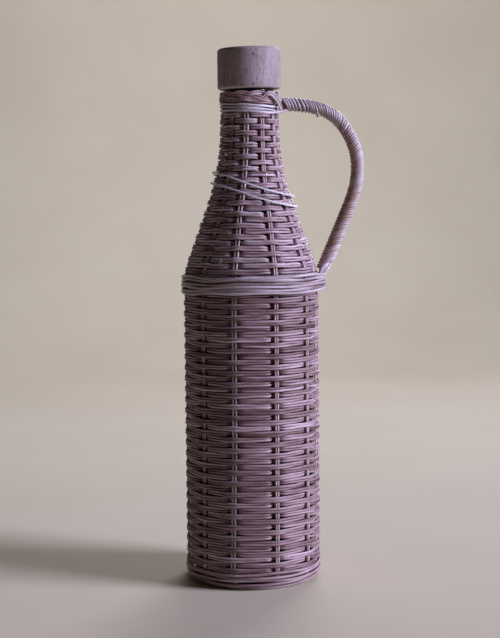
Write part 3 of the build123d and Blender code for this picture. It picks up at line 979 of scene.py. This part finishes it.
def wind_handle():
    """Cane wound round the bent rod: leaning turns, open near the root."""
    limits = wrap_limits()
    for name, low, high in zip(wrap_names, limits, limits[1:]):
        bundle = Bundle()
        turns = np.linspace(low, high - 0.02, int((high - low) * samples_per_turn))
        around = 2 * pi * turns
        inward = np.cos(around)
        station = by_table(turns, turn_table)
        slant = by_table(station, slant_table)
        curl = by_table(station, curl_table)
        station = station + slant * inward + curl * np.cos(2 * around)
        station = np.clip(station + drift(turns, 0.07, 0.45), 0.9, handle_line.length - 0.9)
        spots, normals = handle_line.at(station)
        outward = in_handle_plane(normals) * inward[:, None]
        outward = outward + np.array(sideways) * np.sin(around)[:, None]
        out = core_radius * handle_fullness(station) + wrap_depth + wrap_clearance
        out = out + np.abs(drift(turns, 0.07, 0.6))
        out = out + loose_turn_height * np.exp(-((turns - loose_turn) / loose_turn_width) ** 2)
        path = in_handle_plane(spots) + outward * out[:, None]
        width = by_table(station, width_table) - slant_narrowing * slant
        width = width * (1 - inner_narrowing * inward) * (1 + drift(turns, 0.05, 0.4))
        # painted shade: the inner side of each turn is darker
        tone = by_table(station, tone_table) - by_table(station, inner_painted_shade_table) * inward
        tone = tone + drift(turns, 0.08, 0.8)
        bundle.strand(path, width, wrap_depth, tone, outward, squareness=0.05)
        if name == "lower":
            for knots in lead_strands:
                lead = smooth_path(knots, 48)
                outward = unit((lead - lead_middle) * (0.8, 1, 0.3))
                bundle.strand(lead, *lead_size, 0.76, outward)
        bundle.piece(f"handle_wrap_{name}_cane", handle_cane,
                     replaces=[f"handle_wrap_{name}"])


# Stopper head

head_low = 288.45
head_high = 312.1
head_radius = 18.5
head_bore_radius = 9.0
head_rounding = 2.0
head_lean = 0.9
head_segments = 144
# The eased lower rim: how far each of its points is inside the head's radius and above its foot
head_easing = ((1.5, 0.0), (0.85, 0.15), (0.32, 0.55), (0.07, 1.1))


def head_profile():
    """Radius and height from the head's underside to the middle of its top."""
    profile = [(head_bore_radius, head_low)]
    profile += [(head_radius - inside, head_low + above) for inside, above in head_easing]
    for height in np.linspace(head_low + 1.8, head_high - 2.5, 26):
        profile.append((head_radius - 0.05 * (1 - cos((height - head_low) * 2.3)) / 2, height))
    for turn in np.linspace(0, pi / 2, 12):
        profile.append((head_radius - head_rounding * (1 - cos(turn)),
                        head_high - head_rounding * (1 - sin(turn))))
    for radius in np.linspace(15.6, 0.6, 16):
        dish = 0.18 * (1 - (radius / 16.5) ** 2) + 0.02 * sin(radius * 4.1)
        profile.append((radius, head_high - dish))
    return np.array(profile)


def make_head():
    """A turned head: rounded top, eased lower rim, faint tool rings."""
    profile = head_profile()
    phi = np.arange(head_segments) * 360 / head_segments
    radius = profile[:, 0, None] * (1 + 0.0016 * np.sin(np.radians(2 * phi + 40)))
    points = polar(radius, phi, profile[:, 1, None]).reshape(-1, 3)
    points[:, 2] += points[:, 0] * sin(radians(head_lean))
    last = (len(profile) - 1) * head_segments
    faces = []
    for low in range(0, last, head_segments):
        high = low + head_segments
        for side in range(head_segments):
            onward = (side + 1) % head_segments
            faces.append((low + side, low + onward, high + onward, high + side))
    faces.append(tuple(reversed(range(head_segments))))
    faces.append(tuple(last + side for side in range(head_segments)))
    head = smooth_object("stopper_head_turned", (points * MM).tolist(), faces, wood_material())
    finished(head, "stopper", ["stopper_head"])


# Stray fibres: angle, height, and bends as (along, up, out)
stray_fibres = (
    (-131, 151.5, ((0, 0, 0), (1.5, 1.6, 0.5), (3.4, 1.9, 0.9), (5.2, 0.8, 0.6))),
    (-80, 146.6, ((0, 0, 0), (1.2, -1.0, 0.7), (2.8, -1.2, 1.0), (4.4, 0.2, 0.5))),
    (-52, 192.5, ((0, 0, 0), (0.6, 1.5, 0.8), (2.0, 2.3, 1.2), (3.3, 1.2, 0.9), (3.0, -0.4, 0.5))),
    (-118, 191.5, ((0, 0, 0), (1.0, -1.4, 0.6), (0.4, -2.9, 0.9), (-0.9, -2.4, 0.6),
                   (-0.6, -1.0, 0.4))),
    (38, 96.0, ((0, 0, 0), (1.3, 0.9, 0.7), (3.0, 0.8, 1.1), (4.6, -0.4, 0.7))),
    (118, 133.0, ((0, 0, 0), (1.1, -1.2, 0.6), (2.9, -1.1, 0.9), (4.1, 0.3, 0.5))),
)
fibre_radius = 0.13
fibre_sink = 0.8


def make_fibres():
    bundle = Bundle()
    kernel = np.ones(7) / 7
    for angle, height, knots in stray_fibres:
        bends = np.pad(between_knots(knots, 26), ((3, 3), (0, 0)), mode="edge")
        along, up, out = (np.convolve(bend, kernel, mode="valid") for bend in bends.T)
        radius = cover_radius_at(height + up) + out - fibre_sink
        path = polar(radius, angle + np.degrees(along / radius), height + up)
        bundle.strand(path, fibre_radius, fibre_radius, 0.95, sides=6)
    bundle.piece("stray_fibres", light_cane)


make_weave()
make_stakes()
make_base_coil()
make_foot_wale()
make_shoulder_band()
make_neck_binding()
make_tie()
make_border()
make_core()
wind_handle()
make_head()
make_fibres()


# Floor, light and camera, in metres

def make_floor():
    """A pale floor that curves up into a backdrop."""
    reach, back, curve, top = 6.0, 0.9, 0.5, 2.2
    line = [(-reach, 0.0), (back, 0.0)]
    for turn in np.linspace(0, pi / 2, 14)[1:]:
        line.append((back + curve * sin(turn), curve * (1 - cos(turn))))
    line.append((back + curve, top))
    points = [(x, y, z) for y, z in line for x in (-reach, reach)]
    faces = [(2 * i, 2 * i + 1, 2 * i + 3, 2 * i + 2) for i in range(len(line) - 1)]
    shader = Shader("pale_floor")
    cloud = shader.noise(shader.place(), scale=7.0)
    color = shader.ramp(cloud, ((0.3, (0.60, 0.53, 0.385)), (0.7, (0.64, 0.57, 0.425))))
    shader.set(Base_Color=color, Roughness=shader.spread(cloud, 0.86, 0.94))
    floor = smooth_object("floor", points, faces, shader.material)


def area_light(name, place, target, size, power, color, spread=180):
    light = bpy.data.lights.new(name, "AREA")
    light.size = size
    light.energy = power
    light.color = color
    light.spread = radians(spread)
    obj = placed(name, light)
    heading = np.array(target) - np.array(place)
    obj.location = place
    obj.rotation_euler = (atan2(np.hypot(heading[0], heading[1]), -heading[2]), 0,
                          atan2(heading[1], heading[0]) - pi / 2)


make_floor()
area_light("key", (3.60, -1.08, 1.48), (0, 0, 0.16), 1.5, 26.0, (0.72, 0.73, 1.0), spread=50)
area_light("fill", (-0.7, -0.9, 0.8), (0, 0, 0.16), 0.9, 0.22, (1.0, 0.70, 0.48))
area_light("back_fill", (0.30, 1.25, 0.85), (0, 0, 0.18), 0.8, 2.0, (0.80, 0.80, 1.0), spread=60)
area_light("backdrop_light", (0.0, 0.85, 0.95), (0, 1.40, 0.28), 0.9, 6.0, (0.84, 0.86, 1.0))

world = bpy.data.worlds.new("studio")
bpy.context.scene.world = world
world.use_nodes = True
background = world.node_tree.nodes["Background"].inputs
background["Color"].default_value = (1.0, 0.72, 0.54, 1.0)
background["Strength"].default_value = 0.007
bpy.context.scene.view_settings.view_transform = "Standard"

# The photograph's view: its frame is 500 by 638, and its focal length is 1409 of those pixels
focal_pixels = 1409.0
frame_height = 638.0
camera_pitch = 5.257
camera_roll = 0.55
camera_data = bpy.data.cameras.new("photo_camera")
camera_data.sensor_width = 36.0
camera_data.lens = focal_pixels * camera_data.sensor_width / frame_height
camera = placed("photo_camera", camera_data)
camera.location = (-0.0008, -0.8319, 0.23045)
camera.rotation_mode = "XYZ"
camera.rotation_euler = (radians(90 - camera_pitch), 0, 0)
bpy.context.view_layer.update()
camera.matrix_world = camera.matrix_world @ Matrix.Rotation(radians(-camera_roll), 4, "Z")
bpy.context.scene.camera = camera
